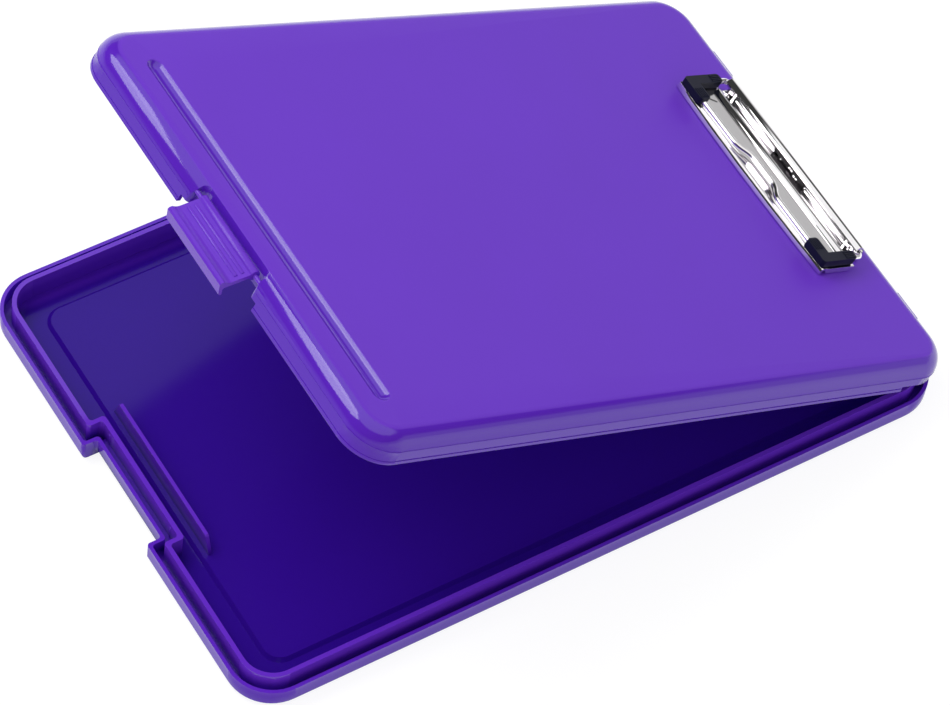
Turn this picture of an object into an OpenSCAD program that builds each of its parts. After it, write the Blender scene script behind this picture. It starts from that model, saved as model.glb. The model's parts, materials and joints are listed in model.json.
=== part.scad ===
// Slim storage clipboard: a shallow tray with a double-walled rim, a hinged lid that nests
// inside the rim, a swing latch at one end and a low wire-lever paper clip on the lid.
// X runs from the latch end (-) to the hinge end (+), Y across, Z up.
// The origin is the centre of the tray footprint on the surface it rests on.

/* [Tray] */
// length of the tray over its outer walls
tray_l = 342; // [310:1:380]
// width of the tray over its outer walls
tray_w = 231; // [226:1:260]
// corner radius of the outer wall in plan
corner_r = 20; // [14:0.5:30]
// thickness of the floor
floor_t = 2.0; // [1.5:0.1:3]
// thickness of the low outer wall
outer_t = 1.6; // [1.2:0.1:2.5]
// height of the outer wall above the table
outer_h = 10.2; // [8:0.1:14]
// width of the groove that takes the lid skirt
groove_w = 3.4; // [3:0.1:5]
// height of the groove bottom
groove_z = 3.0; // [2:0.1:4]
// thickness of the tall inner wall
inner_t = 2.0; // [1.4:0.1:3]
// height of the inner wall above the table
inner_h = 14.6; // [12:0.1:18]
// radius along the bottom edge
base_edge_r = 3.0; // [1:0.5:5]

/* [Tray floor] */
// distance from the outer face to the raised panel, sides and hinge end
panel_in = 16.5; // [12:0.5:30]
// distance from the outer face to the raised panel, latch end
panel_in_latch = 18.5; // [16:0.5:30]
// height of the raised panel over the floor
panel_up = 1.6; // [0.5:0.1:3]
// corner radius of the raised panel
panel_r = 9; // [5:0.5:20]
// distance from the outer face to the pen divider
fin_in = 23; // [21:0.5:40]
// length of the pen divider along its foot
fin_l = 82; // [40:1:140]
// height of the pen divider above the table
fin_h = 13.6; // [8:0.1:15]
// thickness of the pen divider
fin_t = 1.6; // [1:0.1:3]
// slope of the divider ends, run over its height
fin_slope = 4; // [0:0.5:10]
// chamfer at the top corners of the divider
fin_edge = 0.8; // [0:0.1:2]

/* [Latch notch] */
// half width of the notch in the tray wall
notch_hw = 27.2; // [24:0.1:40]
// how far the walls step in at the notch
notch_d = 6.8; // [5:0.1:9]
// height of the hooking ledge under the notch wall
ledge_z = 3.3; // [2.5:0.1:5]
// depth of the hooking ledge
ledge_d = 3.0; // [2:0.1:4]
// plan radius at the corners of the notch
notch_r = 1.5; // [0.5:0.1:3]

/* [Rim ribs] */
// spacing of the centring ribs in the groove
rib_pitch = 20; // [12:1:40]
// how far a centring rib stands out of the wall
rib_out = 0.3; // [0.2:0.05:0.4]
// width of a centring rib
rib_w = 1.4; // [0.8:0.1:2]
// how far a centring rib ends below the wall top
rib_short = 0.4; // [0.2:0.1:2]
// how far the ribs beside the notch end below the inner wall top
notch_rib_short = 2.5; // [1:0.1:5]

/* [Lid] */
// gap between lid skirt and tray outer wall
lid_gap = 0.9; // [0.8:0.05:1.1]
// height of the lid top when closed
lid_top = 21.5; // [19:0.1:28]
// height of the skirt edge when closed
skirt_z = 7.0; // [6:0.1:9]
// height of the skirt edge near the hinge when closed
skirt_hinge_z = 9.6; // [9.5:0.1:10.5]
// length of the raised skirt edge from the hinge end
skirt_hinge_l = 27; // [24:0.5:40]
// thickness of the skirt
skirt_t = 1.8; // [1.5:0.1:2]
// thickness of the top sheet
top_t = 2.0; // [1.5:0.1:3]
// radius of the shoulder between top and side
shoulder_r = 7.5; // [4:0.5:9]
// bead along the skirt edge, how far it stands out
bead_out = 0.25; // [0:0.05:0.3]
// height of the bead
bead_h = 1.6; // [1:0.1:3]
// height of the parting line round the side when closed
line_z = 13.4; // [12:0.1:14]
// how far the parting line stands out
line_out = 0.15; // [0.05:0.05:0.3]
// height of the parting line
line_h = 0.6; // [0.3:0.1:1]
// how far the lid stands open
lid_open = 25.7; // [0:0.5:100]

/* [Pencil groove] */
// distance from the latch end of the lid to the groove middle
pencil_in = 19; // [15:0.5:30]
// length of the groove
pencil_l = 186; // [120:1:200]
// width of the groove
pencil_w = 8.4; // [6:0.1:12]
// depth of the groove
pencil_d = 2.2; // [1:0.1:3]
// wall under the groove
pencil_t = 1.6; // [1.2:0.1:2.5]

/* [Lid hinge] */
// height of the hinge axis
hinge_z = 4.6; // [4:0.1:5]
// distance of the hinge axis beyond the tray end
hinge_out = 3.2; // [3.1:0.1:4]
// outer radius of a knuckle
knuckle_r = 2.8; // [2.4:0.1:2.8]
// radius of the hinge pin
hinge_pin_r = 1.25; // [1:0.05:1.5]
// distance of a hinge from the middle of the end wall
hinge_y = 74; // [50:1:85]
// width of the lid knuckle
lid_knuckle_w = 15; // [10:0.5:24]
// width of each tray knuckle
tray_knuckle_w = 10; // [6:0.5:16]
// side gap between knuckles
knuckle_gap = 0.4; // [0.3:0.05:0.8]
// height of a hinge arm over the axis
arm_h = 12.4; // [11:0.1:12.8]
// how far a hinge pin stands out at each end
pin_over = 0.3; // [0.1:0.1:1]

/* [Latch] */
// width of the latch
latch_w = 41.4; // [30:0.2:44]
// outer radius of the latch barrel
barrel_r = 2.4; // [2:0.1:2.6]
// radius of the latch pin
latch_pin_r = 1.0; // [0.8:0.05:1.2]
// latch axis, distance in from the lid end face
latch_in = 1.9; // [1.8:0.1:3]
// latch axis, height when the lid is closed
latch_z = 17.0; // [15:0.1:17.4]
// thickness of the latch plate
latch_t = 2.0; // [1.6:0.1:2.6]
// how far the barrel stands proud of the plate
barrel_proud = 0.95; // [0.4:0.05:1.2]
// radius of the hollow under the pull lip
lip_r = 7; // [5:0.5:12]
// how far the pull lip flares out from the plate
lip_out = 1.75; // [1:0.05:2.5]
// depth of the latch pocket in the lid end
pocket_d = 5.5; // [5.1:0.1:6.5]
// side gap between latch and pocket
pocket_side = 4.2; // [1:0.1:6]
// plan radius at the inner corners of the pocket
pocket_r = 3.0; // [1:0.1:3.4]
// plan radius at the mouth of the pocket
pocket_mouth_r = 2.0; // [0.5:0.1:2]
// gap between the hook and the ledge
hook_gap = 0.7; // [0.4:0.1:1]
// how far the hook reaches under the ledge
hook_reach = 1.8; // [1:0.1:2.4]
// thickness of the hook
hook_t = 1.6; // [1.2:0.1:1.8]
// distance from the latch axis to the first raised line
grip_line_z = 4.4; // [3.5:0.1:5]
// distance between the raised lines on the plate
grip_line_gap = 3.1; // [2:0.1:4]
// how far the latch stands swung out
latch_open = 68; // [0:1:95]

/* [Clip] */
// clip axis, distance in from the lid end face
clip_in = 17.3; // [14:0.1:30]
// clip axis, height over the lid top
clip_z = 4.9; // [4.9:0.1:7]
// outer radius of the rail curl
rail_r = 3.5; // [3.3:0.1:4.2]
// sheet thickness of rail and jaw
sheet_t = 1.0; // [0.8:0.1:1.1]
// depth of the rail base in front of the curl
rail_base = 16; // [12:0.5:18]
// thickness of a cheek inside the rail
cheek_t = 1.3; // [1:0.1:2]
// distance from the clip axis to the front of the jaw
jaw_depth = 26.2; // [24:0.2:32]
// height of the jaw sheet over the lid top
jaw_z = 3.0; // [2.8:0.1:3.1]
// how far the front edge bows out at mid length
jaw_bow = 1.4; // [0.5:0.1:2]
// rise of the rolled front edge over the jaw sheet
jaw_roll = 0.3; // [0.1:0.05:0.35]
// how far the jaw ends reach beyond the lever legs
jaw_over = 3.2; // [2:0.1:5]
// outer radius of the jaw barrels
jaw_barrel_r = 2.0; // [1.8:0.1:2.1]
// half length left free between the jaw barrels
barrel_free = 12; // [6:1:24]
// radius of the raised bead along the jaw
ridge_r = 2.7; // [2.4:0.1:3]
// distance from the clip axis to the raised bead
ridge_x = 8.2; // [8:0.1:12]
// length of the stiffening ribs at the jaw ends
gusset_l = 8.5; // [5:0.5:10]
// height of the stiffening ribs at the jaw ends
gusset_h = 0.35; // [0.2:0.05:0.6]
// how far the jaw stands open
jaw_open = 0; // [0:0.5:18]

/* [Clip lever] */
// radius of the lever wire
wire_r = 1.3; // [1:0.05:1.3]
// distance from the clip axis to the front bar
lever_depth = 23.4; // [20:0.2:26]
// half width of the lever between leg centres
lever_hw = 53.4; // [46:0.1:60]
// side gap between lever leg and rail end
leg_gap = 0.7; // [0.4:0.1:1.5]
// bend radius at the lever corners
lever_bend = 4; // [2:0.5:6]
// bend radius where the legs turn in to the pivots
pivot_bend = 2.4; // [2:0.1:2.8]
// how far the middle of the front bar is set back
bump_in = 4.4; // [1:0.1:6]
// half length of the set back part
bump_hl = 6; // [2:0.5:20]
// how far the lever stands raised
lever_open = 0; // [0:1:100]
// width of a corner grip along the front bar
grip_w = 6.4; // [5:0.1:7]
// width of a corner grip along the leg
grip_leg_w = 5.0; // [4:0.1:6]
// height of a corner grip
grip_h = 3.5; // [3:0.1:4.5]
// how far a grip reaches below the wire axis
grip_drop = 1.15; // [0.8:0.05:1.2]
// length of the grip along the front bar
grip_bar_l = 14; // [10:0.5:24]
// length of the grip along the leg
grip_leg_l = 21; // [10:0.2:21]
// plan radius at the corners of a grip
grip_r = 1.6; // [0.8:0.1:2.2]
// spacing of the finger ridges on a grip
grip_pitch = 1.0; // [0.8:0.05:1.4]

/* [Clip fixings] */
// radius of a rivet shank
rivet_r = 1.6; // [1:0.1:2]
// radius of a rivet head
rivet_head_r = 3.2; // [2.5:0.1:4]
// height of a rivet head
rivet_head_h = 0.6; // [0.4:0.05:0.7]
// distance of the outer rivets from the middle
rivet_y = 33; // [20:1:36]
// radius of the jaw rod
rod_r = 1.1; // [0.8:0.05:1.2]

/* [Fits] */
// running clearance on the radius of pins and rods
run_gap = 0.05; // [0.02:0.01:0.1]
// gap between lid parts and the outer wall they pass over
over_gap = 0.6; // [0.4:0.1:1]
// side gap between the clip parts on one axis
side_gap = 0.6; // [0.4:0.1:1]

/* [Hidden] */
$fn = 48;
e = 0.01;
rim_w = outer_t + groove_w + inner_t;
inner_in = outer_t + groove_w;
lid_in = outer_t + lid_gap;
lid_l = tray_l - 2 * lid_in;
lid_w = tray_w - 2 * lid_in;
lid_r = corner_r - lid_in;
lid_x = lid_l / 2;
tray_x = tray_l / 2;
hinge_x = tray_x + hinge_out;
panel_l = tray_l - panel_in - panel_in_latch;
panel_w = tray_w - 2 * panel_in;
panel_x = (panel_in_latch - panel_in) / 2;
fin_x = -tray_x + fin_in;
notch_x = -tray_x + notch_d;
pocket_hw = latch_w / 2 + pocket_side;
latch_pin_hl = pocket_hw + skirt_t - 0.6;
plate_x = barrel_proud - barrel_r;
latch_x = -lid_x + latch_in;
arm_clear = outer_h + over_gap - hinge_z;
station_w = lid_knuckle_w + 2 * tray_knuckle_w + 2 * knuckle_gap;
clip_x = lid_x - clip_in;
clip_h = lid_top + clip_z;
rail_in_r = rail_r - sheet_t;
jaw_front = clip_x - jaw_depth;
ridge_cx = clip_x - ridge_x;
rivet_x = ridge_cx - 1;
rail_hl = lever_hw - wire_r - leg_gap;
jaw_hl = lever_hw + jaw_over;
bow_r = (jaw_hl * jaw_hl + jaw_bow * jaw_bow) / (2 * jaw_bow);
bow_a = 1.1 * asin(jaw_hl / bow_r);
ridge_hl = rail_hl - 2.4;
cheek_out_y = rail_hl - 2.2 - cheek_t;
cheek_in_y = cheek_out_y - 4.4;
pivot_end_y = cheek_out_y - 1.1;
rod_hl = cheek_in_y + cheek_t + side_gap;
jaw_lo = lid_top + jaw_z - sheet_t;
bar_x = clip_x - lever_depth;
bump_a = acos(0.8);
bump_r = 2.5 * bump_in;
bump_run = 3 * bump_in;
plastic = [0.38, 0.20, 0.70];
steel = [0.80, 0.80, 0.82];
dark = [0.07, 0.08, 0.14];

// ---------------------------------------------------------------- plan and section shapes

// rounded rectangle in plan
module rrect(l, w, r) {
    square([l - 2 * r, w], center = true);
    square([l, w - 2 * r], center = true);
    for (sx = [-1, 1], sy = [-1, 1])
        translate([sx * (l / 2 - r), sy * (w / 2 - r)]) circle(r);
}

// carries a section (x in from the outer face, y up) round a rounded rectangle
module around(l, w, r) {
    for (k = [0, 1]) rotate([0, 0, 180 * k]) {
        translate([l / 2, 0, 0]) rotate([90, 0, 0])
            linear_extrude(w - 2 * r, center = true) mirror([1, 0]) children();
        translate([0, w / 2, 0]) rotate([90, 0, 90])
            linear_extrude(l - 2 * r, center = true) mirror([1, 0]) children();
        translate([l / 2 - r, w / 2 - r, 0]) rotate_extrude(angle = 90)
            translate([r, 0]) mirror([1, 0]) children();
        translate([-(l / 2 - r), w / 2 - r, 0]) rotate([0, 0, 90]) rotate_extrude(angle = 90)
            translate([r, 0]) mirror([1, 0]) children();
    }
}

// block with a rounded rectangle plan and a rounded top edge
module soft_block(l, w, r, z0, z1, er) {
    translate([0, 0, z0]) linear_extrude(z1 - er - z0) rrect(l, w, r);
    translate([0, 0, z1 - er - e]) linear_extrude(er + e) rrect(l - 2 * er, w - 2 * er, r - er);
    around(l, w, r) intersection() {
        translate([er, z1 - er]) circle(er);
        translate([0, z1 - er]) square([er + e, er]);
    }
}

// block with a rounded rectangle plan and a sloped top edge
module sloped_block(l, w, r, z0, z1) {
    h = z1 - z0;
    translate([0, 0, z0]) linear_extrude(h) rrect(l - 2 * h, w - 2 * h, r - h);
    around(l, w, r) polygon([[0, z0], [h + e, z1], [h + e, z0]]);
}

// notch plan grown by d; mouth at x0, inner face at x1, half width hw
module notch_plan(x0, x1, hw, d, rm, ri) {
    translate([x0 - 4, -hw - d]) square([x1 + d - x0 + 4 - ri, 2 * (hw + d)]);
    translate([x0 - 4, -hw - d + ri]) square([x1 + d - x0 + 4, 2 * (hw + d - ri)]);
    for (s = [-1, 1]) {
        translate([x1 + d - ri, s * (hw + d - ri)]) circle(ri);
        scale([1, s]) difference() {
            translate([x0 + d - 4, hw + d - e]) square([4 + rm, rm + e]);
            translate([x0 + d + rm, hw + d + rm]) circle(rm);
            translate([x0 + d - 4, hw + d + rm - e]) square([4, rm]);
        }
    }
}

// plan area of the tray inside the wall line set in by d
module tray_plan(d) {
    difference() {
        rrect(tray_l - 2 * d, tray_w - 2 * d, corner_r - d);
        notch_plan(-tray_x, notch_x, notch_hw, d, notch_r, notch_r);
    }
}

// round bar between two heights along Y
module bar_y(r, y0, y1) {
    translate([0, y1, 0]) rotate([90, 0, 0]) cylinder(r = r, h = y1 - y0);
}

// sheet section carried along Y, section x = X and y = Z
module along_y(y0, y1) {
    translate([0, y1, 0]) rotate([90, 0, 0]) linear_extrude(y1 - y0) children();
}

// ---------------------------------------------------------------- poses

module lid_pose() {
    translate([hinge_x, 0, hinge_z]) rotate([0, lid_open, 0])
        translate([-hinge_x, 0, -hinge_z]) children();
}

module latch_pose() {
    lid_pose() translate([latch_x, 0, latch_z]) rotate([0, latch_open, 0]) children();
}

module jaw_pose() {
    lid_pose() translate([clip_x, 0, clip_h]) rotate([0, jaw_open, 0])
        translate([-clip_x, 0, -clip_h]) children();
}

module lever_pose() {
    lid_pose() translate([clip_x, 0, clip_h]) rotate([0, lever_open, 0])
        translate([-clip_x, 0, -clip_h]) children();
}

// ---------------------------------------------------------------- tray

// triangular centring rib standing on the inside of the outer wall, at the +X end
module groove_rib() {
    translate([0, 0, groove_z - e]) linear_extrude(outer_h - groove_z - rib_short)
        polygon([[e, -rib_w / 2], [e, rib_w / 2], [-rib_out, 0]]);
}

module groove_ribs() {
    side_n = floor((tray_l / 2 - corner_r) / rib_pitch);
    for (k = [-side_n : side_n], s = [-1, 1])
        translate([k * rib_pitch, s * (tray_w / 2 - outer_t), 0]) rotate([0, 0, 90 * s]) groove_rib();
    end_n = floor((tray_w / 2 - corner_r) / rib_pitch);
    for (k = [-end_n : end_n]) {
        if (abs(k * rib_pitch) > notch_hw + inner_in + rib_w)
            translate([-tray_x + outer_t, k * rib_pitch, 0]) rotate([0, 0, 180]) groove_rib();
        translate([tray_x - outer_t, k * rib_pitch, 0]) groove_rib();
    }
}

// ribs on the outside of the inner wall beside the notch
module notch_ribs() {
    for (s = [-1, 1]) translate([notch_x + inner_in, s * (notch_hw - rib_w), groove_z])
        linear_extrude(inner_h - groove_z - notch_rib_short)
            polygon([[e, -rib_w / 2], [e, rib_w / 2], [-rib_out, 0]]);
}

// one tray knuckle section in X, Z
module tray_knuckle_plan() {
    translate([hinge_x, hinge_z]) circle(knuckle_r);
    translate([tray_x - outer_t / 2, hinge_z - knuckle_r])
        square([hinge_out + outer_t / 2, 2 * knuckle_r]);
}

module tray_knuckles() {
    for (s = [-1, 1], k = [-1, 1])
        translate([0, s * hinge_y + k * (station_w - tray_knuckle_w) / 2, 0])
            along_y(-tray_knuckle_w / 2, tray_knuckle_w / 2) tray_knuckle_plan();
}

// pen divider with sloped ends
module pen_fin() {
    translate([fin_x - fin_t / 2, 0, 0]) rotate([90, 0, 90]) linear_extrude(fin_t)
        for (s = [0, 1]) mirror([s, 0]) polygon([[-e, floor_t], [fin_l / 2, floor_t],
            [fin_l / 2 - fin_slope, fin_h - fin_edge], [fin_l / 2 - fin_slope - fin_edge, fin_h],
            [-e, fin_h]]);
}

module tray_shell() {
    difference() {
        union() {
            difference() {
                translate([0, 0, outer_h]) mirror([0, 0, 1])
                    soft_block(tray_l, tray_w, corner_r, 0, outer_h, base_edge_r);
                translate([0, 0, -1]) linear_extrude(outer_h + 2)
                    notch_plan(-tray_x, notch_x, notch_hw, 0, notch_r, notch_r);
            }
            translate([0, 0, floor_t / 2]) linear_extrude(inner_h - floor_t / 2) tray_plan(inner_in);
            tray_knuckles();
        }
        // groove between the two walls, shallower behind the latch
        translate([0, 0, groove_z]) linear_extrude(inner_h) difference() {
            tray_plan(outer_t);
            tray_plan(inner_in);
            translate([-tray_x, -notch_hw - outer_t])
                square([notch_d + inner_in, 2 * (notch_hw + outer_t)]);
        }
        translate([0, 0, ledge_z + floor_t]) linear_extrude(inner_h) difference() {
            tray_plan(outer_t);
            tray_plan(inner_in);
        }
        // the storage space
        translate([0, 0, floor_t]) linear_extrude(inner_h) tray_plan(rim_w);
        // undercut for the latch hook
        translate([notch_x - 1, -notch_hw, -1]) cube([ledge_d + 1, 2 * notch_hw, ledge_z + 1]);
        // hollow under the raised panel
        translate([panel_x, 0, 0]) {
            translate([0, 0, -1]) linear_extrude(1 + e)
                rrect(panel_l - 2, panel_w - 2, panel_r - 1);
            sloped_block(panel_l - 2, panel_w - 2, panel_r - 1, 0, panel_up);
        }
        // pin bores
        for (s = [-1, 1]) translate([hinge_x, s * hinge_y, hinge_z])
            bar_y(hinge_pin_r, -station_w / 2 - 1, station_w / 2 + 1);
    }
}

module base_tray() {
    color(plastic) union() {
        tray_shell();
        translate([panel_x, 0, 0])
            sloped_block(panel_l, panel_w, panel_r, floor_t - e, floor_t + panel_up);
        pen_fin();
        groove_ribs();
        notch_ribs();
    }
}

// ---------------------------------------------------------------- hinge pins

module hinge_pins() {
    color(steel) for (s = [-1, 1]) translate([hinge_x, s * hinge_y, hinge_z])
        bar_y(hinge_pin_r, -station_w / 2 - pin_over, station_w / 2 + pin_over);
}

// ---------------------------------------------------------------- lid

// half of the channel section, width w and depth d, under height 0
module channel_half(w, d) {
    r = (w * w / 4 + d * d) / (2 * d);
    intersection() {
        translate([0, r - d]) circle(r);
        translate([0, -d - 1]) square([w / 2, d + 3]);
    }
}

// one long shallow channel with rounded ends
module pencil_cut(w, d, z) {
    half = pencil_l / 2 - pencil_w / 2;
    translate([-lid_x + pencil_in, 0, z]) {
        along_y(-half, half) {
            channel_half(w, d);
            mirror([1, 0]) channel_half(w, d);
        }
        for (s = [0, 1]) rotate([0, 0, 180 * s]) translate([0, half, 0])
            rotate_extrude(angle = 180) channel_half(w, d);
    }
}

module lid_outside() {
    soft_block(lid_l, lid_w, lid_r, skirt_z, lid_top, shoulder_r);
    around(lid_l, lid_w, lid_r) {
        translate([-bead_out, skirt_z]) square([bead_out + skirt_t / 2, bead_h]);
        translate([-line_out, line_z]) square([line_out + skirt_t / 2, line_h]);
    }
}

module lid_inside() {
    soft_block(lid_l - 2 * skirt_t, lid_w - 2 * skirt_t, lid_r - skirt_t,
        skirt_z - 1, lid_top - top_t, shoulder_r - skirt_t);
}

module lid_pocket_plan(d) {
    notch_plan(-lid_x, -lid_x + pocket_d, pocket_hw, d, pocket_mouth_r, pocket_r + d);
}

// arm section in X, Z: out over the tray rim and down to the pin
module lid_arm_plan() {
    translate([hinge_x, hinge_z]) circle(knuckle_r);
    root = lid_x - hinge_x - 0.8 * skirt_t;
    translate([hinge_x, hinge_z]) polygon([[-knuckle_r, 0], [knuckle_r, 0], [knuckle_r, 0.21 * arm_h],
        [0.57 * knuckle_r, 0.53 * arm_h], [-0.36 * knuckle_r, 0.84 * arm_h], [root, arm_h],
        [root, arm_clear], [-knuckle_r, arm_clear]]);
}

module lid_arms() {
    for (s = [-1, 1]) translate([0, s * hinge_y, 0])
        along_y(-lid_knuckle_w / 2, lid_knuckle_w / 2) lid_arm_plan();
}

module lid() {
    color(plastic) lid_pose() difference() {
        union() {
            difference() {
                lid_outside();
                translate([0, 0, skirt_z - 1]) linear_extrude(lid_top) lid_pocket_plan(0);
                difference() {
                    lid_inside();
                    translate([0, 0, skirt_z - 2]) linear_extrude(lid_top) lid_pocket_plan(skirt_t);
                }
            }
            // underside of the pencil channel
            difference() {
                intersection() {
                    pencil_cut(pencil_w + 2 * pencil_t, pencil_d + pencil_t, lid_top - 0.4);
                    lid_outside();
                }
                pencil_cut(pencil_w, pencil_d, lid_top);
            }
            lid_arms();
        }
        pencil_cut(pencil_w, pencil_d, lid_top);
        // skirt edge raised at the hinge end so that it swings clear of the inner wall
        translate([lid_x - skirt_hinge_l, -lid_w, 0])
            cube([skirt_hinge_l + bead_out + 0.1, 2 * lid_w, skirt_hinge_z]);
        for (s = [-1, 1]) translate([hinge_x, s * hinge_y, hinge_z])
            bar_y(hinge_pin_r + run_gap, -lid_knuckle_w, lid_knuckle_w);
        // skirt edge raised at the pocket so that it passes over the notch walls
        translate([-lid_x - 1, -notch_hw - lid_in, 0])
            cube([pocket_d + skirt_t + 2, 2 * (notch_hw + lid_in), outer_h + over_gap]);
        translate([latch_x, 0, latch_z]) bar_y(latch_pin_r, -latch_pin_hl, latch_pin_hl);
        rivet_places(0) cylinder(r = rivet_r, h = 2 * lid_top);
    }
}

// ---------------------------------------------------------------- latch

// latch section in X, Z about its axis, hanging closed
module latch_plan() {
    hook_z = ledge_z - hook_gap - latch_z;
    hook_x = notch_x + hook_reach - latch_x;
    low_z = hook_z - hook_t;
    lip_x = plate_x - lip_out;
    circle(barrel_r);
    polygon([[plate_x, 0], [plate_x, low_z + 1], [plate_x + 0.4, low_z], [hook_x - 1.0, low_z],
        [hook_x, low_z + 0.7], [hook_x, hook_z], [plate_x + latch_t + 0.6, hook_z],
        [plate_x + latch_t, hook_z + 0.8], [plate_x + latch_t, 0]]);
    // pull lip under a round hollow
    difference() {
        polygon([[plate_x + 0.5, hook_z + lip_r], [lip_x, hook_z + lip_r], [lip_x, low_z + 0.7],
            [lip_x + 0.7, low_z], [plate_x + 0.5, low_z]]);
        translate([plate_x - lip_r + 0.15, hook_z + lip_r - 1.8]) circle(lip_r);
        translate([lip_x - 1, hook_z + lip_r - 1.8]) square([lip_out + 1, 3]);
    }
}

module latch() {
    color(plastic) latch_pose() difference() {
        union() {
            along_y(-latch_w / 2, latch_w / 2) latch_plan();
            for (k = [0, 1]) translate([plate_x, -latch_w / 2 + 2, -grip_line_z - k * grip_line_gap])
                rotate([-90, 0, 0]) scale([0.5, 1, 1]) cylinder(r = 0.8, h = latch_w - 4);
        }
        bar_y(latch_pin_r + run_gap, -latch_w, latch_w);
    }
}

module latch_pin() {
    color(steel) lid_pose() translate([latch_x, 0, latch_z])
        bar_y(latch_pin_r, -latch_pin_hl, latch_pin_hl);
}

// ---------------------------------------------------------------- clip

// rail section: base sheet, back wall and open curl
module rail_plan() {
    translate([clip_x - rail_in_r - rail_base, lid_top])
        square([rail_base + 2 * rail_in_r + sheet_t, sheet_t]);
    translate([clip_x + rail_in_r, lid_top]) square([sheet_t, clip_z]);
    difference() {
        translate([clip_x, clip_h]) circle(rail_r);
        translate([clip_x, clip_h]) circle(rail_in_r);
        translate([clip_x - rail_r - 1, clip_h - rail_r - 1]) square([2 * rail_r + 2, rail_r + 1]);
        // mouth of the curl, up to 30 degrees over the axis
        translate([clip_x, clip_h]) polygon([[0, 0], [-10, 0], [-10, 10 * tan(30)]]);
    }
}

// cheek inside the rail that carries a pivot
module cheek_plan() {
    front = 1.9;
    intersection() {
        translate([clip_x, clip_h]) circle(rail_in_r + e);
        translate([clip_x - front, clip_h]) square([2 * rail_r, rail_r]);
    }
    translate([clip_x - front, lid_top + sheet_t - e])
        square([front + rail_in_r + e, clip_z - sheet_t + 2 * e]);
}

// the three rivet places at a height
module rivet_places(z) {
    for (k = [-1, 0, 1]) translate([rivet_x, k * rivet_y, z]) children();
}

module clip_bracket() {
    color(steel) lid_pose() difference() {
        union() {
            along_y(-rail_hl, rail_hl) rail_plan();
            for (s = [-1, 1], y = [cheek_in_y, cheek_out_y]) scale([1, s, 1])
                along_y(y, y + cheek_t) cheek_plan();
        }
        translate([clip_x, 0, clip_h]) {
            bar_y(rod_r, -rod_hl, rod_hl);
            for (s = [-1, 1]) scale([1, s, 1]) bar_y(wire_r + run_gap, cheek_out_y - 0.2, rail_hl);
        }
        rivet_places(0) cylinder(r = rivet_r, h = 2 * lid_top);
    }
}

module clip_rivets() {
    under = top_t + 1.6;
    color(steel) lid_pose() {
        rivet_places(lid_top - under) cylinder(r = rivet_r, h = under + sheet_t + rivet_head_h / 2);
        rivet_places(lid_top + sheet_t)
            cylinder(r1 = rivet_head_r, r2 = rivet_head_r - 0.8, h = rivet_head_h);
        rivet_places(lid_top - under - 0.2) cylinder(r1 = rivet_r + 0.6, r2 = rivet_r + 1.1, h = 1.0);
    }
}

module rivet_washers() {
    washer_t = 0.8;
    color(steel) lid_pose() rivet_places(lid_top - top_t - washer_t) difference() {
        cylinder(r = rivet_head_r + 1, h = washer_t);
        translate([0, 0, -1]) cylinder(r = rivet_r, h = washer_t + 2);
    }
}

module jaw_rod() {
    color(steel) lid_pose() translate([clip_x, 0, clip_h]) bar_y(rod_r, -rod_hl, rod_hl);
}

// front of the jaw section, x back from the edge: turned down edge, low roll and flat
module jaw_edge_plan() {
    top = jaw_lo + sheet_t;
    low = lid_top + 0.3;
    polygon([[0, low], [0, low + 0.5], [0.6, top - 0.1], [1.4, top + jaw_roll], [2.6, top + jaw_roll],
        [5, top], [8, top], [8, jaw_lo], [5, jaw_lo], [2.6, jaw_lo + jaw_roll], [1.7, jaw_lo + 0.2],
        [1.0, low]]);
}

// front edge on a wide arc, with its ends cut square
module jaw_edge() {
    intersection() {
        translate([jaw_front - jaw_bow + bow_r, 0, 0]) rotate([0, 0, 180 - bow_a])
            rotate_extrude(angle = 2 * bow_a, $fn = 960) translate([bow_r, 0]) mirror([1, 0]) jaw_edge_plan();
        translate([jaw_front - jaw_bow - 1, -jaw_hl, lid_top]) cube([10, 2 * jaw_hl, 2 * clip_z]);
    }
}

// hollow bead section, the upper half of a tube
module jaw_bead_plan() {
    difference() {
        translate([ridge_cx, jaw_lo]) circle(ridge_r);
        translate([ridge_cx, jaw_lo]) circle(ridge_r - sheet_t);
        translate([ridge_cx - 5, jaw_lo - 5]) square([10, 5]);
    }
}

// jaw end beyond the bead with its turned down flange, y > 0
module jaw_end() {
    t = sheet_t;
    translate([ridge_cx - ridge_r - 0.2, ridge_hl - 0.5, jaw_lo])
        cube([2 * ridge_r + 0.4, jaw_hl - ridge_hl + 0.5, t]);
    // wall that closes the bead
    intersection() {
        translate([ridge_cx, 0, jaw_lo]) bar_y(ridge_r, ridge_hl - t, ridge_hl);
        translate([ridge_cx - 5, ridge_hl - 5, jaw_lo]) cube(10);
    }
    along_y(jaw_hl - t, jaw_hl) polygon([[jaw_front + 2.6, jaw_lo + t / 2], [jaw_front + 4.4, lid_top + 0.4],
        [ridge_cx + ridge_r - 1.4, lid_top + 0.4], [ridge_cx + ridge_r + 0.2, jaw_lo + t / 2]]);
    // slanted stiffening rib pressed up in the flat
    translate([jaw_front + 6.5, ridge_hl - 1.0, jaw_lo + t - e]) rotate([0, 0, -35])
        cube([gusset_l, 1.6, gusset_h + e]);
}

// barrel on the rod with its foot on the jaw sheet, y > 0
module jaw_barrel() {
    y1 = cheek_in_y - side_gap;
    translate([clip_x, 0, clip_h]) bar_y(jaw_barrel_r, barrel_free, y1);
    translate([clip_x - 2.5, barrel_free, jaw_lo]) cube([3.7, y1 - barrel_free, sheet_t]);
    translate([clip_x - 1.2, barrel_free, jaw_lo]) cube([2.4, y1 - barrel_free, clip_h - 1.2 - jaw_lo]);
}

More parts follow.
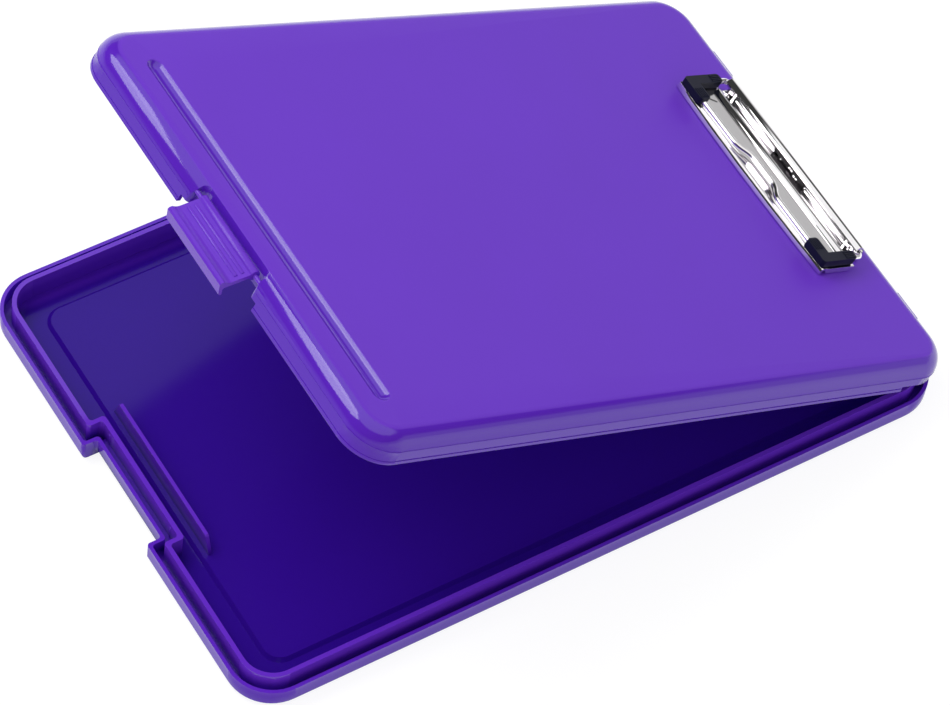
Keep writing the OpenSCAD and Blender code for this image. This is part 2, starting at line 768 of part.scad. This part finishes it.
module jaw_plate() {
    flat_x = jaw_front + 5;
    tail_x = ridge_cx + ridge_r - 0.2;
    color(steel) jaw_pose() difference() {
        union() {
            jaw_edge();
            translate([flat_x, -jaw_hl, jaw_lo])
                cube([ridge_cx - ridge_r + 0.2 - flat_x, 2 * jaw_hl, sheet_t]);
            along_y(-ridge_hl, ridge_hl) jaw_bead_plan();
            // tail that runs on under the rail curl
            translate([tail_x, -ridge_hl, jaw_lo]) cube([clip_x - 2.3 - tail_x, 2 * ridge_hl, sheet_t]);
            for (s = [-1, 1]) scale([1, s, 1]) {
                jaw_end();
                jaw_barrel();
            }
        }
        translate([clip_x, 0, clip_h]) bar_y(rod_r + run_gap, -jaw_hl, jaw_hl);
    }
}

// ---------------------------------------------------------------- lever

// arc of wire in plan, centre cx, cy, from angle a0 over da
module wire_arc(cx, cy, r, a0, da) {
    translate([cx, cy, 0]) rotate([0, 0, a0]) rotate_extrude(angle = da) translate([r, 0]) circle(wire_r);
}

// half of the lever wire, y > 0
module lever_half() {
    x1 = bar_x + bump_in;
    translate([x1, 0, 0]) bar_y(wire_r, 0, bump_hl);
    wire_arc(x1 - bump_r, bump_hl, bump_r, 0, bump_a);
    wire_arc(bar_x + bump_r, bump_hl + bump_run, bump_r, 180, bump_a);
    translate([bar_x, 0, 0]) bar_y(wire_r, bump_hl + bump_run, lever_hw - lever_bend);
    wire_arc(bar_x + lever_bend, lever_hw - lever_bend, lever_bend, 90, 90);
    translate([bar_x + lever_bend, lever_hw, 0]) rotate([0, 90, 0])
        cylinder(r = wire_r, h = lever_depth - lever_bend - pivot_bend);
    wire_arc(clip_x - pivot_bend, lever_hw - pivot_bend, pivot_bend, 0, 90);
    translate([clip_x, 0, 0]) bar_y(wire_r, pivot_end_y, lever_hw - pivot_bend);
}

module wire_lever() {
    color(steel) lever_pose() translate([0, 0, clip_h])
        for (s = [-1, 1]) scale([1, s, 1]) lever_half();
}

// L shaped plan of a grip, outer corner at x0, y1
module grip_plan(x0, y1) {
    translate([x0 + grip_leg_l / 2, y1 - grip_leg_w / 2]) rrect(grip_leg_l, grip_leg_w, grip_r);
    translate([x0, y1 - grip_bar_l + grip_r]) square([grip_w, grip_bar_l - 2 * grip_r]);
    translate([x0 + grip_r, y1 - grip_bar_l]) square([grip_w - 2 * grip_r, grip_r + e]);
    for (x = [x0 + grip_r, x0 + grip_w - grip_r])
        translate([x, y1 - grip_bar_l + grip_r]) circle(grip_r);
}

// L shaped boot clipped over one lever corner, y > 0
module grip_body() {
    x0 = bar_x - grip_w / 2;
    y1 = lever_hw + grip_leg_w / 2;
    lo = clip_h - grip_drop;
    ridge_l = 5.6;
    difference() {
        union() {
            translate([0, 0, lo]) linear_extrude(grip_h) grip_plan(x0, y1);
            for (k = [0 : 4]) translate([x0 + 1.0 + grip_pitch * k, y1 - grip_bar_l + 0.9, lo + grip_h - e])
                cube([0.45, ridge_l, 0.3]);
            for (k = [0 : 3]) translate([x0 + grip_leg_l - 0.9, y1 - grip_leg_w + 0.8 + grip_pitch * k, lo])
                translate([-ridge_l, 0, grip_h - e]) cube([ridge_l, 0.45, 0.3]);
        }
        translate([0, 0, clip_h]) {
            translate([bar_x, 0, 0]) bar_y(wire_r, y1 - grip_bar_l - 1, lever_hw - lever_bend);
            wire_arc(bar_x + lever_bend, lever_hw - lever_bend, lever_bend, 90, 90);
            translate([bar_x + lever_bend, lever_hw, 0]) rotate([0, 90, 0])
                cylinder(r = wire_r, h = grip_leg_l);
        }
    }
}

module grip_far() {
    color(dark) lever_pose() grip_body();
}

module grip_near() {
    color(dark) lever_pose() scale([1, -1, 1]) grip_body();
}

// ---------------------------------------------------------------- assembly

base_tray();
hinge_pins();
lid();
latch();
latch_pin();
clip_bracket();
clip_rivets();
rivet_washers();
jaw_plate();
jaw_rod();
wire_lever();
grip_far();
grip_near();
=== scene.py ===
# %% [markdown]
# # A slim storage clipboard in purple plastic
#
# The object is a shallow tray with a double rim, a lid that nests inside that rim and turns on
# two pins at one end, a swing latch at the other end and a low steel paper clip on the lid.
# The solids come in as a frame that is never moved. This script gives them their looks: soft
# moulded edges, satin and glossy plastic, bright plated steel, and a pale studio around them.

# %% Load the frame
import json
import math
import bpy
import numpy as np
from mathutils import Matrix, Vector


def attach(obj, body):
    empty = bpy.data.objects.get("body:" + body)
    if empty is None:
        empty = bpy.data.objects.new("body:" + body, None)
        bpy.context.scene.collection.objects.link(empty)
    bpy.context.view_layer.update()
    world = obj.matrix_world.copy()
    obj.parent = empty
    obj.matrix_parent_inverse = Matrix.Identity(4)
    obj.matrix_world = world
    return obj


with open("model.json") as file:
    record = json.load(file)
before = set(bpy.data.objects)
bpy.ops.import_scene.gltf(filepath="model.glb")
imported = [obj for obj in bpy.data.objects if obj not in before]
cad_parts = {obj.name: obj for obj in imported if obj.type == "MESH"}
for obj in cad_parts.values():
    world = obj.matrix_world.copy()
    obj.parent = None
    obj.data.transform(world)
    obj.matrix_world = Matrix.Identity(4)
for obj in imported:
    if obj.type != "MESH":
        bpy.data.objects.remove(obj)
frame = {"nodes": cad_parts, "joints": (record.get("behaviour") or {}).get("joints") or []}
nodes = frame["nodes"]
joints = {joint["name"]: joint for joint in frame["joints"]}
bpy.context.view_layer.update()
print("nodes:", sorted(nodes))

# %% [markdown]
# ## The lid's own directions
#
# The lid is packed standing open. Its hinge joint says by how much: the lower limit of its range
# is the way back to shut. Everything on the lid is easier to place in the shut lid's directions,
# where the top is level, so a small class turns points from there to the open lid and back:
# `open = hinge + R (shut - hinge)`, with `R` a turn about Y. The angle could be typed in again,
# but read from the joint it stays right when the frame changes.

# %% From the shut lid to the open one
class LidFrame:
    """Turns points between the shut lid, whose top is level, and the open lid of the frame."""

    def __init__(self, hinge):
        self.angle = -math.radians(hinge["range_deg"][0])
        self.pivot = np.array(hinge["pos_m"])
        cosine = math.cos(self.angle)
        sine = math.sin(self.angle)
        self.turn = np.array([[cosine, 0, sine], [0, 1, 0], [-sine, 0, cosine]])

    def to_open(self, points):
        """Row vectors: p' = pivot + (p - pivot) R^T."""
        return (np.asarray(points) - self.pivot) @ self.turn.T + self.pivot

    def to_shut(self, points):
        """The inverse turn, with R in place of R^T."""
        return (np.asarray(points) - self.pivot) @ self.turn + self.pivot


def node_points(name):
    """All vertices of a CAD node as an (n, 3) array."""
    mesh = nodes[name].data
    flat = np.empty(len(mesh.vertices) * 3, np.float32)
    mesh.vertices.foreach_get("co", flat)
    return flat.reshape(-1, 3).astype(float)


lid_frame = LidFrame(joints["lid_hinge"])
LID_TOP = lid_frame.to_shut(node_points("lid"))[:, 2].max()
clip_axis = lid_frame.to_shut(joints["lever_lift"]["pos_m"])
print("lid open by", round(math.degrees(lid_frame.angle), 1), "degrees, top at", round(LID_TOP, 4))

# %% [markdown]
# ## The camera
#
# The photograph was taken with a long lens from the latch end, turned towards the near side and
# looking well down. A camera can be dragged until the view seems right. Here it sits on a sphere
# round a point on the table, by azimuth, elevation, distance and a small roll, because such
# numbers can be fitted to points on the photographed outline. One function turns them into the
# matrix. The lens is the focal length in pixels, scaled to the sensor.

# %% Camera
AZIMUTH = math.radians(39.34)
ELEVATION = math.radians(54.63)
ROLL = math.radians(10.0)
DISTANCE = 2.109
TARGET = Vector((0.00406, -0.00147, 0.0))
FOCAL_PIXELS = 4935
PICTURE_WIDTH = 950
SENSOR_WIDTH = 36
FAR_CLIP = 50


def place_camera():
    """Position = target + distance * away; right = forward x Z, then both axes turned by the
    roll."""
    away = Vector((-math.sin(AZIMUTH) * math.cos(ELEVATION),
                   -math.cos(AZIMUTH) * math.cos(ELEVATION), math.sin(ELEVATION)))
    right = (-away).cross(Vector((0, 0, 1))).normalized()
    up = right.cross(-away)
    right_rolled = math.cos(ROLL) * right + math.sin(ROLL) * up
    up_rolled = math.cos(ROLL) * up - math.sin(ROLL) * right
    data = bpy.data.cameras.new("camera")
    data.sensor_width = SENSOR_WIDTH
    data.lens = FOCAL_PIXELS * data.sensor_width / PICTURE_WIDTH
    data.clip_end = FAR_CLIP
    camera = bpy.data.objects.new("camera", data)
    axes = Matrix((right_rolled, up_rolled, away)).transposed()
    camera.matrix_world = Matrix.Translation(TARGET + away * DISTANCE) @ axes.to_4x4()
    bpy.context.scene.collection.objects.link(camera)
    bpy.context.scene.camera = camera
    return camera


camera = place_camera()
print("camera at", [round(v, 3) for v in camera.location], "lens", round(camera.data.lens, 1))

# %% [markdown]
# ## Shader expressions
#
# In the editor a material is wired box by box. In a script it is easier to read as a sum. A
# `Socket` wraps one output socket, and adding or multiplying it adds the Math node that does so.
# Every other node comes from `Tree.add`, which takes its type, its settings and its inputs.

# %% A socket that can be added and multiplied
class Socket:
    """An output socket that takes part in Python arithmetic."""

    def __init__(self, tree, output):
        self.tree = tree
        self.output = output

    def math(self, operation, first, second):
        """A Math node on two values, each a number or a socket."""
        return self.tree.add("ShaderNodeMath", {"operation": operation}, {0: first, 1: second})

    def __add__(self, other):
        return self.math("ADD", self, other)

    def __radd__(self, other):
        return self.math("ADD", other, self)

    def __sub__(self, other):
        return self.math("SUBTRACT", self, other)

    def __rsub__(self, other):
        return self.math("SUBTRACT", other, self)

    def __mul__(self, other):
        return self.math("MULTIPLY", self, other)

    def __rmul__(self, other):
        return self.math("MULTIPLY", other, self)


# %% A node tree that makes its own nodes
class Tree:
    """A node tree with one method that makes any node and returns one of its outputs."""

    def __init__(self, tree):
        self.tree = tree
        tree.nodes.clear()

    def add(self, kind, settings=None, inputs=None, out=0):
        """Settings first, because they decide which sockets a node shows, then the inputs."""
        node = self.tree.nodes.new(kind)
        for name, value in (settings or {}).items():
            setattr(node, name, value)
        for key, value in (inputs or {}).items():
            if isinstance(value, Socket):
                self.tree.links.new(value.output, node.inputs[key])
            else:
                node.inputs[key].default_value = value
        return Socket(self, node.outputs[out])

    def ramp(self, value, low, high):
        """0 below low, 1 above high, with a smooth step between."""
        return self.add("ShaderNodeMapRange", {"interpolation_type": "SMOOTHSTEP"},
                        {"Value": value, "From Min": low, "From Max": high})

    def noise(self, place, size, detail=2.0):
        """Noise whose features are about `size` metres across."""
        return self.add("ShaderNodeTexNoise",
                        inputs={"Vector": place, "Scale": 1 / size, "Detail": detail})

    def split(self, vector):
        """The three parts of a vector."""
        node = self.add("ShaderNodeSeparateXYZ", inputs={"Vector": vector}).output.node
        return [Socket(self, output) for output in node.outputs]

    def mix(self, factor, low, high):
        """low + factor * (high - low) of two colours, each three numbers or a socket."""
        ends = [end if isinstance(end, Socket) else [*end, 1] for end in (low, high)]
        return self.add("ShaderNodeMix", {"data_type": "RGBA"},
                        {"Factor": factor, "A": ends[0], "B": ends[1]}, out="Result")

    def absolute(self, value):
        """The value without its sign."""
        return self.add("ShaderNodeMath", {"operation": "ABSOLUTE"}, {0: value})

    def finish(self, shader, kind="ShaderNodeOutputMaterial"):
        """Send a shader to the tree's output."""
        out = self.tree.nodes.new(kind)
        self.tree.links.new(shader.output, out.inputs["Surface"])


def new_material(name):
    """A material with an empty tree."""
    material = bpy.data.materials.new(name)
    material.use_nodes = True
    return material, Tree(material.node_tree)


print("shader helpers ready")

# %% [markdown]
# ## Plastic
#
# The tray, the lid and the latch are moulded in one purple. One flat colour would look like paint,
# so a fine grain goes to the bump and a slow cloud to the colour and the roughness. Seen in the
# photograph, rims and top are lightest, smooth walls are deeper, and what shows of the tray's floor
# is almost navy. The three tones below follow that: the first is the plastic's own purple, the
# deeper one is painted shade on walls and shoulders, and the darkest is painted shade on the tray's
# floor. Masks worked out from heights put each in its place. All plastics share one shader, whose
# coat is the clear sheen on the rounded edges.

# %% Colours and the plastic shader
PURPLE = (0.148, 0.030, 0.610)
# painted shade on the tray's walls and on the lid's shoulders and walls
SIDE_SHADE_PURPLE = (0.105, 0.016, 0.520)
# painted shade on the tray's floor between its walls
FLOOR_SHADE_PURPLE = (0.034, 0.004, 0.290)
GRAIN_DETAIL = 3.0
CLOUD_SIZE = 0.055
COAT_ROUGHNESS = 0.07


def shade(colour, factor):
    """A colour made lighter or darker."""
    return [channel * factor for channel in colour]


def cloudy(tree, cloud, colour, spread):
    """The colour times 1 - spread where the cloud is 0, and times 1 + spread where it is 1."""
    return tree.mix(cloud, shade(colour, 1 - spread), shade(colour, 1 + spread))


def grain_bump(tree, height, strength, depth):
    """A normal tilted by a height map, which is `depth` metres from lowest to highest."""
    return tree.add("ShaderNodeBump",
                    inputs={"Strength": strength, "Distance": depth, "Height": height})


def moulded(tree, base, rough, normal, specular=0.20, polish=0.0):
    """The plastic shader itself. Polish adds a clear, smooth sheen on top."""
    return tree.add("ShaderNodeBsdfPrincipled", inputs={
        "Base Color": base, "Roughness": rough, "Normal": normal, "Specular IOR Level": specular,
        "Coat Weight": polish, "Coat Roughness": COAT_ROUGHNESS})


print("purples, from light to dark:", PURPLE, SIDE_SHADE_PURPLE, FLOOR_SHADE_PURPLE)

# %% [markdown]
# ## The lid's plastic
#
# The flat of the lid is satin, and its shoulders and walls are glossy. Two materials on two sets
# of faces would leave a hard border, so one material finds the flat by its height. The lid stands
# open, so a Mapping node first turns Object coordinates level with it. Off the flat, the colour
# turns to the deeper tone, which is painted shade on the shoulders and walls. The rounded shoulder
# just under the flat gets the extra sheen, which draws the long bright line round the lid.

# %% The lid
GLOSS = 0.12
SATIN = 0.42
LID_UNEVEN = 0.05
LID_GRAIN = 0.00030
SHOULDER_COAT = 0.7
FLAT_START = 0.00045
FLAT_FULL = 0.00010
SHOULDER_START = 0.0070
SHOULDER_FULL = 0.0030


def lid_level(tree):
    """Object coordinates turned to the shut lid, where Z is the height over the table:
    p' = R^T p + (pivot - R^T pivot)."""
    place = tree.add("ShaderNodeTexCoord", out="Object")
    shift = lid_frame.pivot - lid_frame.turn.T @ lid_frame.pivot
    return tree.add("ShaderNodeMapping", {"vector_type": "POINT"}, {
        "Vector": place, "Rotation": (0, -lid_frame.angle, 0), "Location": list(shift)})


def under_top(tree, height, start, full):
    """0 deeper than `start` under the lid's top, 1 above the depth `full`."""
    return tree.ramp(height, LID_TOP - start, LID_TOP - full)


def lid_plastic():
    """Satin where the shut lid is at its full height, glossy on the shoulders and walls below:
    roughness = gloss + flat * (satin - gloss) + a little cloud."""
    material, tree = new_material("lid_purple")
    level = lid_level(tree)
    height = tree.split(level)[2]
    flat = under_top(tree, height, FLAT_START, FLAT_FULL)
    shoulder = under_top(tree, height, SHOULDER_START, SHOULDER_FULL) * (1 - flat)
    grain = tree.noise(level, LID_GRAIN, GRAIN_DETAIL)
    cloud = tree.noise(level, CLOUD_SIZE)
    bump = grain_bump(tree, grain * flat, strength=0.4, depth=0.00002)
    top = cloudy(tree, cloud, PURPLE, spread=0.04)
    # painted shade: off the flat, the shoulders and walls take the deeper tone
    base = tree.mix(1 - flat, top, SIDE_SHADE_PURPLE)
    rough = GLOSS + flat * (SATIN - GLOSS) + cloud * LID_UNEVEN
    tree.finish(moulded(tree, base, rough, bump, specular=0.30,
                        polish=shoulder * SHOULDER_COAT))
    return material


lid_purple = lid_plastic()
print("lid:", lid_purple.name, "satin from", FLAT_START * 1000, "mm under its top")

# %% [markdown]
# ## The tray's plastic
#
# The tray's rims are light, its walls deeper and its floor darkest: the deeper walls and the dark
# floor are painted shade, and the rims keep the plain purple. The floor could be a material of its
# own, but its edge runs through the soft corner of the moulding. Masks do it instead. A point
# belongs to the floor if it is well inside both pairs of walls and near the bottom. The upper half
# of the tray's height fades to the rims' tone and takes the extra sheen.

# %% The tray
TRAY_ROUGHNESS = 0.10
TRAY_UNEVEN = 0.06
FINE_GRAIN = 0.0004
RIM_COAT = 0.5
WALL_START = 0.013
WALL_FULL = 0.009
FLOOR_FULL = 0.0030
FLOOR_END = 0.0080
RIM_START = 0.45
RIM_FULL = 0.90


def near_wall(tree, place, reach):
    """0 over the floor and 1 by the wall, by the distance from the tray's outline."""
    return tree.ramp(tree.absolute(place), reach - WALL_START, reach - WALL_FULL)


def tray_plastic():
    """floor = not by the end walls * not by the side walls * low down, where the shade is painted;
    rim = high up.
    """
    material, tree = new_material("tray_purple")
    place = tree.add("ShaderNodeTexCoord", out="Object")
    x, y, z = tree.split(place)
    half_length, half_width, height = np.abs(node_points("base_tray")).max(axis=0)
    inside = (1 - near_wall(tree, x, half_length)) * (1 - near_wall(tree, y, half_width))
    floor_shade_mask = inside * (1 - tree.ramp(z, FLOOR_FULL, FLOOR_END))
    rim_part = tree.ramp(z, height * RIM_START, height * RIM_FULL)
    cloud = tree.noise(place, CLOUD_SIZE)
    grain = tree.noise(place, FINE_GRAIN, GRAIN_DETAIL)
    bump = grain_bump(tree, grain, strength=0.35, depth=0.000008)
    # painted shade: the walls below the rim take the deeper tone, the rim keeps the plain purple
    wall = tree.mix(rim_part, SIDE_SHADE_PURPLE, PURPLE)
    # painted shade: the floor between the walls takes the darkest tone
    base = tree.mix(floor_shade_mask, wall, FLOOR_SHADE_PURPLE)
    tree.finish(moulded(tree, base, TRAY_ROUGHNESS + cloud * TRAY_UNEVEN, bump,
                        polish=rim_part * RIM_COAT))
    return material


tray_purple = tray_plastic()
print("tray:", tray_purple.name)

# %% [markdown]
# ## The latch and the boots
#
# The latch is the same purple, between satin and gloss. The two boots on the wire lever are
# blue-black plastic and duller. Each could have its own nodes, but neither has zones, so one
# function with a colour, a roughness and a grain makes both.

# %% The latch and the boots
UNEVEN = 0.08


def plastic(name, colour, rough, grain_size, grain_depth, specular):
    """Plastic with a grain, a cloudy tint and a roughness that wanders round its middle value."""
    material, tree = new_material(name)
    place = tree.add("ShaderNodeTexCoord", out="Object")
    grain = tree.noise(place, grain_size, GRAIN_DETAIL)
    cloud = tree.noise(place, CLOUD_SIZE)
    bump = grain_bump(tree, grain, strength=0.35, depth=grain_depth)
    base = cloudy(tree, cloud, colour, spread=0.06)
    tree.finish(moulded(tree, base, rough - UNEVEN / 2 + cloud * UNEVEN, bump, specular))
    return material


latch_purple = plastic("latch_purple", colour=PURPLE, rough=0.26, grain_size=FINE_GRAIN,
                       grain_depth=0.00001, specular=0.35)
boot_black = plastic("boot_black", colour=(0.006, 0.007, 0.024), rough=0.45, grain_size=0.0003,
                     grain_depth=0.00002, specular=0.2)
print("small plastics:", latch_purple.name, boot_black.name)

# %% [markdown]
# ## Steel
#
# The clip is sheet steel and plated bright, so it shows the room more than itself. A perfectly
# smooth metal would look like a mirror, and a picture of real scratches would need a file. So
# two noises add a little roughness: faint smears, and fine marks along the clip, whose noise a
# Mapping node stretches. Pins and rivets are duller. The rod and the springs are darker still:
# their dark colour is painted shade, because what lies under the rail looks dark in the
# photograph. The latch's pin is purple, because no metal shows there.

# %% Steel materials
MARK_STRETCH = 0.05
MARK_SIZE = 0.0006
MARK_ROUGHNESS = 0.04
SMEAR_SIZE = 0.012
SMEAR_ROUGHNESS = 0.03
SMEAR_SHADE = 0.97


def steel(name, colour, rough):
    """Plated metal: roughness = rough + marks, stretched along Y, + smears."""
    material, tree = new_material(name)
    place = tree.add("ShaderNodeTexCoord", out="Object")
    along = tree.add("ShaderNodeMapping", {"vector_type": "POINT"},
                     {"Vector": place, "Scale": (1, MARK_STRETCH, 1)})
    marks = tree.noise(along, MARK_SIZE, GRAIN_DETAIL)
    smear = tree.noise(place, SMEAR_SIZE)
    tree.finish(tree.add("ShaderNodeBsdfPrincipled", inputs={
        "Base Color": tree.mix(smear, shade(colour, SMEAR_SHADE), colour), "Metallic": 1.0,
        "Roughness": rough + marks * MARK_ROUGHNESS + smear * SMEAR_ROUGHNESS}))
    return material


bright_steel = steel("bright_steel", colour=(0.92, 0.90, 0.92), rough=0.04)
pin_steel = steel("pin_steel", colour=(0.62, 0.62, 0.64), rough=0.24)
# painted shade: a dark steel colour for the rod and the springs that lie under the rail
shaded_dark_steel = steel("shaded_dark_steel", colour=(0.16, 0.15, 0.16), rough=0.40)

# %% Each node gets its finish
FINISH = {"base_tray": tray_purple, "lid": lid_purple, "latch": latch_purple,
          "latch_pin": latch_purple, "jaw_rod": shaded_dark_steel,
          "clip_bracket": bright_steel, "jaw_plate": bright_steel, "wire_lever": bright_steel,
          "grip_far": boot_black, "grip_near": boot_black}
for name, obj in nodes.items():
    finish = FINISH.get(name, pin_steel)
    obj.data.materials.clear()
    obj.data.materials.append(finish)
    print(name, "wears", finish.name)

# %% [markdown]
# ## Soft edges
#
# No moulded or stamped edge is sharp. The rounds could be modelled in the solids, at the price of
# many faces. A Bevel modifier rounds the sharp corners instead, wider on plastic and narrower on
# sheet steel. A Weld modifier comes first, because a node's mesh is loose triangles and a bevel
# needs joined edges.

# %% Soft edges
WELD_DISTANCE = 0.000002
BEVEL_SEGMENTS = 2
SHARP_ANGLE = math.radians(35)
EDGE_ROUND = {"base_tray": 0.00040, "lid": 0.00035, "latch": 0.00035,
              "grip_far": 0.00040, "grip_near": 0.00040, "clip_bracket": 0.00015,
              "jaw_plate": 0.00018}
for name, obj in nodes.items():
    weld = obj.modifiers.new("weld", "WELD")
    weld.merge_threshold = WELD_DISTANCE
    if name in EDGE_ROUND:
        bevel = obj.modifiers.new("soft_edges", "BEVEL")
        bevel.width = EDGE_ROUND[name]
        bevel.segments = BEVEL_SEGMENTS
        bevel.limit_method = "ANGLE"
        bevel.angle_limit = SHARP_ANGLE
        bevel.harden_normals = True
print("welded:", len(nodes), "nodes, rounded:", len(EDGE_ROUND))

# %% [markdown]
# ## Jaw springs
#
# Two small springs sit on the jaw rod between the jaw's barrels, where such a clip has what presses
# its jaw down. Each is wound from round wire, with a straight leg down at its inner end and up at
# its outer end. A Screw modifier can wind a coil, but not its legs, so the wire is one tube swept
# along a path: `x = r cos u`, `z = r sin u`, and `y` moves on by one pitch a turn.

# %% A tube along a path
def tube(path, radius, sides):
    """Quads round a path. Each ring stands square to the path; its side vector is carried along:
    n' = n - (n . t) t, normalised, so the rings don't twist."""
    path = np.asarray(path, float)
    tangent = np.gradient(path, axis=0)
    tangent /= np.linalg.norm(tangent, axis=1, keepdims=True)
    normal = np.empty_like(path)
    side = np.cross(tangent[0], [0.3, 1.0, 0.2])
    for ring_number, forward in enumerate(tangent):
        side = side - (side @ forward) * forward
        side /= np.linalg.norm(side)
        normal[ring_number] = side
    binormal = np.cross(tangent, normal)
    u = np.linspace(0, 2 * np.pi, sides, endpoint=False)
    ring = (np.cos(u)[:, None] * normal[:, None, :]
            + np.sin(u)[:, None] * binormal[:, None, :])
    points = (path[:, None, :] + radius * ring).reshape(-1, 3)
    along, around = np.meshgrid(np.arange(len(path) - 1), np.arange(sides), indexing="ij")
    corner = (along * sides + around).ravel()
    beside = (along * sides + (around + 1) % sides).ravel()
    quads = np.stack([corner, beside, beside + sides, corner + sides], axis=1).tolist()
    last = (len(path) - 1) * sides
    caps = [list(range(sides - 1, -1, -1)), list(range(last, last + sides))]
    return points, quads + caps


def mesh_piece(name, points, faces, material, body):
    """A new smooth piece from points and faces, riding on a body."""
    mesh = bpy.data.meshes.new(name)
    mesh.from_pydata(np.asarray(points).tolist(), [], faces)
    mesh.polygons.foreach_set("use_smooth", np.full(len(mesh.polygons), True))
    mesh.materials.append(material)
    piece = bpy.data.objects.new(name, mesh)
    bpy.context.scene.collection.objects.link(piece)
    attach(piece, body)
    return piece


# %% Two springs on the rod
SPRING_WIRE = 0.00035
ROD_RADIUS = 0.0011
ROD_GAP = 0.0001
SPRING_INNER = 0.0015
SPRING_OUTER = 0.0105
SPRING_LEG = 0.0030
SPRING_TURNS = 10
RINGS_A_TURN = 28
RINGS_A_LEG = 8
WIRE_SIDES = 10


def spring_path(y_start, y_end, coil_radius):
    """A helix about Y from y_start to y_end, with a straight leg at each end that starts one wire
    radius away from the coil. Its zero is the rod's axis in the middle of the clip."""
    u = np.linspace(0, 2 * np.pi * SPRING_TURNS, RINGS_A_TURN * SPRING_TURNS)
    coil = np.stack([coil_radius * np.cos(u), y_start + (y_end - y_start) * u / u[-1],
                     coil_radius * np.sin(u)], axis=1)
    down = np.array([0.0, 0.0, -1.0])
    tail = np.array([-math.sin(u[-1]), 0.0, math.cos(u[-1])])
    first = coil[0] + down * np.linspace(SPRING_LEG, SPRING_WIRE, RINGS_A_LEG)[:, None]
    last = coil[-1] + tail * np.linspace(SPRING_WIRE, SPRING_LEG, RINGS_A_LEG)[:, None]
    return np.concatenate([first, coil, last])


for side, name in ((1, "spring_far"), (-1, "spring_near")):
    path = spring_path(side * SPRING_INNER, side * SPRING_OUTER,
                       ROD_RADIUS + SPRING_WIRE + ROD_GAP)
    path = lid_frame.to_open(path + clip_axis)
    points, faces = tube(path, SPRING_WIRE, WIRE_SIDES)
    spring = mesh_piece(name, points, faces, shaded_dark_steel, "lid")
    print(spring.name, "wound with", len(faces), "faces")

# %% [markdown]
# ## Studio
#
# The table is white paper. A white that only the camera, mirrors and glass see is mixed into it, so
# the picture's ground is white and polished steel shows the same ground, while the paper under it
# still takes the object's shadow and lights the object at its plain level. More light would whiten
# the ground too, but would bleach the purple.

# %% Floor
FLOOR_HALF_SIDE = 3.0
FLOOR_DROP = 0.0002
PAPER_GREY = 0.85
WHITE_STRENGTH = 1.2
WHITE_SHARE = 0.72


def rays_that_see(tree):
    """1 for a camera, mirror or glass ray, 0 for light that is scattered."""
    path = tree.add("ShaderNodeLightPath").output.node
    camera_ray = Socket(tree, path.outputs["Is Camera Ray"])
    mirror_ray = Socket(tree, path.outputs["Is Glossy Ray"])
    glass_ray = Socket(tree, path.outputs["Is Transmission Ray"])
    return camera_ray + mirror_ray + glass_ray


def make_floor():
    """A white plane a hair under the tray."""
    square = np.array([(-1, -1), (1, -1), (1, 1), (-1, 1)]) * FLOOR_HALF_SIDE
    corners = np.column_stack([square, np.full(4, -FLOOR_DROP)])
    mesh = bpy.data.meshes.new("floor")
    mesh.from_pydata(corners.tolist(), [], [(0, 1, 2, 3)])
    floor = bpy.data.objects.new("floor", mesh)
    bpy.context.scene.collection.objects.link(floor)
    material, tree = new_material("floor_white")
    paper = tree.add("ShaderNodeBsdfDiffuse",
                     inputs={"Color": (PAPER_GREY, PAPER_GREY, PAPER_GREY, 1)})
    white = tree.add("ShaderNodeEmission",
                     inputs={"Color": (1, 1, 1, 1), "Strength": WHITE_STRENGTH})
    share = rays_that_see(tree) * WHITE_SHARE
    tree.finish(tree.add("ShaderNodeMixShader", inputs={0: share, 1: paper, 2: white}))
    mesh.materials.append(material)
    return floor


floor = make_floor()
print("floor:", floor.name, 2 * FLOOR_HALF_SIDE, "m square")

# %% [markdown]
# ## The room
#
# Bright steel looks like steel only when it has light and dark to show. So the room that the
# camera, mirrors and glass see has bands: white at the horizon, grey just over it, dark at mid
# height, and white where a soft box hangs, overhead and a little to the hinge side. A picture of a
# real studio would do this too, but three ramps on the ray's direction need no file. Scattered
# light gets one plain level instead, so the purple renders about as it is written. One soft lamp
# high over the far side of the latch end gives the object its shadow.

# %% World
GREY_BAND = (0.06, 0.13)
DARK_BAND = (0.25, 0.31)
BAND_DEPTH = 0.48
SOFT_BOX_EDGE = (0.79, 0.88)
SOFT_BOX_LEVEL = 0.96
SOFT_BOX_LEAN = 0.35
PLAIN_LEVEL = 0.66


def make_world():
    """room = 1 - grey band - dark band + soft box, by the height z of the direction; the strength
    is the room for rays that see and the plain level for the others."""
    world = bpy.data.worlds.new("studio")
    bpy.context.scene.world = world
    world.use_nodes = True
    tree = Tree(world.node_tree)
    x, _, z = tree.split(tree.add("ShaderNodeTexCoord", out="Generated"))
    grey = tree.ramp(z, *GREY_BAND) * BAND_DEPTH
    dark = tree.ramp(z, *DARK_BAND) * BAND_DEPTH
    soft_box = tree.ramp(z + x * SOFT_BOX_LEAN, *SOFT_BOX_EDGE) * SOFT_BOX_LEVEL
    room = 1 - grey - dark + soft_box
    seen = rays_that_see(tree)
    back = tree.add("ShaderNodeBackground", inputs={
        "Color": (1, 1, 1, 1), "Strength": seen * room + (1 - seen) * PLAIN_LEVEL})
    tree.finish(back, "ShaderNodeOutputWorld")
    return world


world = make_world()
print("world:", world.name, "with scattered light at", PLAIN_LEVEL)

# %% Lamp and view
def area_light(name, place, aim, size, watts):
    """A rectangular lamp that looks from one point to another."""
    data = bpy.data.lights.new(name, "AREA")
    data.shape = "RECTANGLE"
    data.size, data.size_y = size
    data.energy = watts
    light = bpy.data.objects.new(name, data)
    light.location = place
    light.rotation_euler = (Vector(aim) - Vector(place)).to_track_quat("-Z", "Y").to_euler()
    bpy.context.scene.collection.objects.link(light)
    return light


key = area_light("key", place=(-0.45, 0.70, 1.35), aim=(0, 0, 0), size=(1.0, 0.8), watts=10)
bpy.context.scene.view_settings.view_transform = "Standard"
print("lamp:", key.name, key.data.energy, "W")
